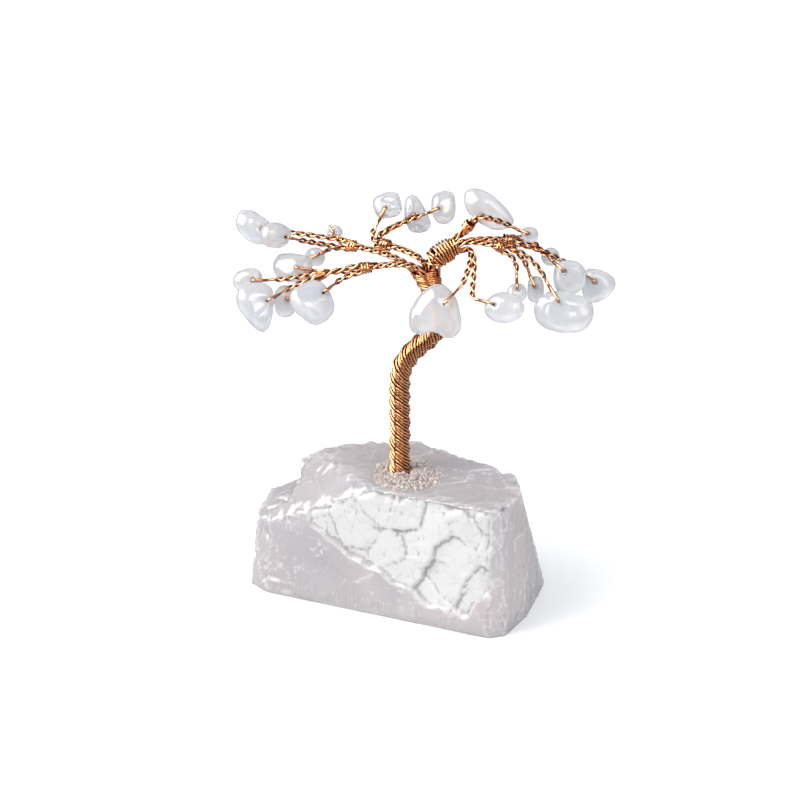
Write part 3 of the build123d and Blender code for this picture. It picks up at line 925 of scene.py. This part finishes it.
def dress_rock():
    bm = voxel_copy("rock_base", ROCK_VOXEL)
    bm.normal_update()
    masks = ("fracture", "ridge", "valley")
    fracture, ridge, valley = [bm.verts.layers.float.new(mask) for mask in masks]
    break_surface(bm, fracture)
    mark_bends(bm, ridge, valley)
    soften(bm, ROCK_WEAR)
    for vert in bm.verts:
        vert.co.z = max(vert.co.z, 0.0)
    surface = BVHTree.FromBMesh(bm)
    mesh = bpy.data.meshes.new("rock")
    bm.to_mesh(mesh)
    bm.free()
    add_piece("rock_broken_block", mesh, TREE, rough_quartz, ["rock_base"])
    print("rock faces:", len(mesh.polygons))
    return surface


rock_surface = dress_rock()

# %% [markdown]
# The grit is poured round the trunk while the glue is wet, so it lies as a low mound that thins out towards
# an uneven edge. Each grain is a small broken lump, and there are many, so each has few faces.

# %% Glue bed and grit
GRAINS = 420
BED_CENTRE = Vector((0.9 * MM, -1.8 * MM, 0))
BED_HALF = Vector((6.0 * MM, 6.6 * MM, 0))
GRIT_HALF = Vector((6.2 * MM, 7.2 * MM, 0))
MOUND = 0.9 * MM
GRAIN_POINTS = 12
GRIT_SEED = 11
# how the grains spread: their nearest place, their crowding, and the swing of the border
NEAREST = 0.1
CROWDING = 0.75
EDGE_SWING = 0.25
EDGE_WAVES = 1.5
EDGE_PLACE = 3
# radii of the grains in millimetres, and how much smaller the largest are at the border
SMALLEST = 0.25
LARGEST = 0.7
THINNING = 0.25
PILING = (0.2, 1)
TURNS = (0, 6)
TURN_AXES = (-1, 0.3, 1)
STRETCHES = ((0.7, 1.3), (0.6, 1.1), (0.5, 1.0))
GRAIN_GAP = 0.2
GRAIN_SEAT = 0.35
GRAIN_BREAK = 0.16 * MM
GRAIN_BREAK_SIZE = 0.7 * MM
FILM_SIDES = 48
FILM_HEIGHT = 0.45 * MM
FILM_THICKNESS = 0.3 * MM
RIPPLE_HEIGHT = 0.25 * MM
RIPPLE_SIZE = 1.3 * MM
ABOVE_ROCK = 0.06


def drop_on_rock(x, y):
    """The height of the broken block under a point."""
    hit = rock_surface.ray_cast(Vector((x, y, ABOVE_ROCK)), Vector((0, 0, -1)))[0]
    return hit.z if hit else rock_top


def dress_grit():
    draw = random.Random(GRIT_SEED)
    bm = bmesh.new()
    while len(bm.verts) < GRAINS * GRAIN_POINTS:
        angle = draw.uniform(0, 2 * math.pi)
        on_edge = Vector((math.cos(angle), math.sin(angle), EDGE_PLACE))
        border = 1 + EDGE_SWING * noise.noise(on_edge * EDGE_WAVES)
        share = draw.uniform(NEAREST, 1) ** CROWDING * border
        x = BED_CENTRE.x + GRIT_HALF.x * share * math.cos(angle)
        y = BED_CENTRE.y + GRIT_HALF.y * share * math.sin(angle)
        size = draw.uniform(SMALLEST, LARGEST - THINNING * share) * MM
        if math.hypot(x, y) < TRUNK_RADIUS + WIRE_RADIUS + GRAIN_GAP * size:
            continue
        lift = MOUND * max(0.0, 1 - share) * draw.uniform(*PILING)
        turn = Matrix.Rotation(draw.uniform(*TURNS), 4, Vector(draw.choices(TURN_AXES, k=3)))
        stretch = Matrix.Diagonal([draw.uniform(*span) for span in STRETCHES] + [1])
        seat = Matrix.Translation((x, y, drop_on_rock(x, y) + lift + GRAIN_SEAT * size))
        bmesh.ops.create_icosphere(bm, subdivisions=1, radius=size, matrix=seat @ turn @ stretch)
    for vert in bm.verts:
        vert.co += noise.noise_vector(vert.co / GRAIN_BREAK_SIZE) * GRAIN_BREAK
    mesh = bpy.data.meshes.new("grit")
    bm.to_mesh(mesh)
    bm.free()
    grit = add_piece("grit_crushed_quartz", mesh, TREE, crushed_quartz, ["quartz_grit"])
    grit.data.shade_flat()
    return len(mesh.polygons)


def dress_glue():
    """The set film under the grit: it follows the stone, ripples a little and thins out at its border."""
    bm = bmesh.new()
    bmesh.ops.create_circle(bm, cap_ends=True, segments=FILM_SIDES, radius=1.0)
    bmesh.ops.subdivide_edges(bm, edges=bm.edges, cuts=3, use_grid_fill=True)
    for _ in range(3):
        bmesh.ops.poke(bm, faces=bm.faces)
    for vert in bm.verts:
        share = math.hypot(vert.co.x, vert.co.y)
        x = BED_CENTRE.x + BED_HALF.x * vert.co.x
        y = BED_CENTRE.y + BED_HALF.y * vert.co.y
        ripple = RIPPLE_HEIGHT * noise.noise(Vector((x, y, 0)) / RIPPLE_SIZE)
        film = FILM_HEIGHT * (1 - share ** 4) + ripple
        vert.co = Vector((x, y, drop_on_rock(x, y) + film))
    mesh = bpy.data.meshes.new("glue")
    bmesh.ops.solidify(bm, geom=bm.faces, thickness=FILM_THICKNESS)
    bmesh.ops.recalc_face_normals(bm, faces=bm.faces)
    bm.to_mesh(mesh)
    bm.free()
    add_piece("glue_film", mesh, TREE, set_glue, ["socket_glue"])


print("grit faces:", dress_grit())
dress_glue()

# %% [markdown]
# The tree stands on white paper, in soft light from the left, with a weak light from behind. A lamp alone
# would leave the copper without anything dark to mirror, and bright metal in an all-white room looks flat.
# Photographers put dark cards beside metal, out of sight of the camera, and bright screens where its
# highlights should be. Two such cards and four screens stand here.

# %% Floor, cards, lights
PAPER_GLOW = 0.12
PAPER_IN_MIRRORS = (0.35, 0.35, 0.36, 1)
PAPER_SIZE = 4.0
PAPER_DROP = 0.02 * MM
PAPER_GREY = (0.86, 0.86, 0.87, 1)
PAPER_WHITE = (0.88, 0.88, 0.885, 1)
PAPER_BLUE = (0.92, 0.95, 1.0, 1)
FELT_BLACK = (0.01, 0.01, 0.012, 1)
SCREEN_WHITE = (1, 0.95, 0.84, 1)
SKY_BLUE = (0.94, 0.965, 1.0, 1)


def make_floor():
    bm = bmesh.new()
    bmesh.ops.create_grid(bm, x_segments=1, y_segments=1, size=PAPER_SIZE)
    bmesh.ops.translate(bm, verts=bm.verts, vec=(0, 0, -PAPER_DROP))
    mesh = bpy.data.meshes.new("floor")
    bm.to_mesh(mesh)
    bm.free()
    material, tree, shader, place = new_finish("white_paper")
    fibre = place_group(tree, VEILS, place, Scale=900.0, Low=0.3, High=0.7)
    rays = tree.nodes.new("ShaderNodeLightPath").outputs
    shade = mix_colour(tree, fibre["Mask"], PAPER_GREY, PAPER_WHITE)
    # painted shade in reflections: the paper turns grey where mirrors see it
    shade = mix_colour(tree, rays["Is Glossy Ray"], shade, PAPER_IN_MIRRORS)
    tree.links.new(shade, shader.inputs["Base Color"])
    glow = add_math(tree, "MULTIPLY", rays["Is Camera Ray"], PAPER_GLOW)
    tree.links.new(glow, shader.inputs["Emission Strength"])
    shader.inputs["Emission Color"].default_value = PAPER_BLUE
    shader.inputs["Roughness"].default_value = 0.9
    shader.inputs["Specular IOR Level"].default_value = 0.1
    mesh.materials.append(material)
    floor = bpy.data.objects.new("floor", mesh)
    bpy.context.scene.collection.objects.link(floor)


def make_card(name, place, facing, half_width, half_height, glow):
    """A dark card, or with a glow a bright screen, that only reflections see."""
    bm = bmesh.new()
    bmesh.ops.create_grid(bm, x_segments=1, y_segments=1, size=1.0)
    shape = Matrix.Diagonal((half_width, half_height, 1, 1))
    turn = Vector(facing).to_track_quat("Z", "Y").to_matrix().to_4x4()
    bmesh.ops.transform(bm, verts=bm.verts, matrix=Matrix.Translation(place) @ turn @ shape)
    mesh = bpy.data.meshes.new(name)
    bm.to_mesh(mesh)
    bm.free()
    material, _, shader, _ = new_finish(name + "_felt")
    shader.inputs["Base Color"].default_value = FELT_BLACK
    shader.inputs["Roughness"].default_value = 1.0
    shader.inputs["Emission Color"].default_value = SCREEN_WHITE
    shader.inputs["Emission Strength"].default_value = glow
    mesh.materials.append(material)
    card = bpy.data.objects.new(name, mesh)
    bpy.context.scene.collection.objects.link(card)
    card.visible_camera = False
    card.visible_diffuse = False
    card.visible_shadow = False
    card.visible_transmission = False


def make_sun(name, direction, strength, spread_degrees, colour):
    lamp = bpy.data.lights.new(name, "SUN")
    lamp.energy = strength
    lamp.angle = math.radians(spread_degrees)
    lamp.color = colour
    sun = bpy.data.objects.new(name, lamp)
    sun.rotation_euler = Vector(direction).to_track_quat("-Z", "Y").to_euler()
    bpy.context.scene.collection.objects.link(sun)


def make_world(light, mirrored):
    """White to the camera and through glass, dimmer in mirrors, and a bluish light elsewhere."""
    world = bpy.data.worlds.new("studio")
    bpy.context.scene.world = world
    world.use_nodes = True
    tree = world.node_tree
    rays = tree.nodes.new("ShaderNodeLightPath").outputs
    seen = add_math(tree, "MAXIMUM", rays["Is Camera Ray"], rays["Is Transmission Ray"])
    shade = mix_colour(tree, seen, SKY_BLUE, (1, 1, 1, 1))
    background = tree.nodes["Background"]
    tree.links.new(shade, background.inputs["Color"])
    level = spread(tree, rays["Is Glossy Ray"], 0.0, 1.0, light, mirrored)
    tree.links.new(spread(tree, seen, 0.0, 1.0, level, 1.0), background.inputs["Strength"])


make_floor()
# name, place, facing, half width, half height, glow
make_card("card_front", (0.14, -0.45, 0.06), (-0.14, 0.45, 0.0), 0.26, 0.09, 0.0)
make_card("card_right", (0.42, 0.05, 0.2), (-1, 0, -0.3), 0.3, 0.18, 0.0)
make_card("screen_left", (-0.4, -0.12, 0.32), (1, 0.25, -0.75), 0.3, 0.26, 7.0)
make_card("screen_front", (0.16, -0.46, 0.44), (-0.16, 0.46, -0.4), 0.14, 0.1, 6.0)
make_card("screen_right", (0.4, -0.26, 0.3), (-0.4, 0.26, -0.26), 0.14, 0.22, 3.2)
make_card("window_left", (-0.3, -0.3, 0.36), (0.3, 0.3, -0.34), 0.035, 0.07, 14.0)
# name, direction, strength, spread in degrees, colour
make_sun("sun_left", (0.64, 0.3, -0.86), 1.2, 26, (1.0, 0.975, 0.94))
make_sun("sun_back", (-0.35, -0.5, -0.75), 0.2, 50, (1.0, 0.99, 0.98))
make_world(light=0.92, mirrored=0.2)
print("stage ready")

# %% [markdown]
# The photograph was taken from a little above, with a long lens. Elevation, distance and lens are set so
# that one millimetre at the trunk covers as much of the frame as it does there.

# %% Camera and the last lines
ELEVATION = math.radians(22)
CAMERA_DISTANCE = 0.6
PIXELS_PER_MM = 5.6
FRAME_PIXELS = 800
SENSOR = 36.0
TARGET = Vector((0, 0, 37.9 * MM))
CLIP_START = 0.01


def make_camera():
    lens = bpy.data.cameras.new("camera")
    lens.sensor_width = SENSOR
    lens.lens = SENSOR * PIXELS_PER_MM * CAMERA_DISTANCE / MM / FRAME_PIXELS
    lens.clip_start = CLIP_START
    camera = bpy.data.objects.new("camera", lens)
    back = Vector((0, -math.cos(ELEVATION), math.sin(ELEVATION)))
    camera.location = TARGET + back * CAMERA_DISTANCE
    camera.rotation_euler = (-back).to_track_quat("-Z", "Y").to_euler()
    bpy.context.scene.collection.objects.link(camera)
    bpy.context.scene.camera = camera
    print("lens:", round(lens.lens, 1), "mm")


make_camera()
bpy.context.scene.view_settings.view_transform = "Standard"
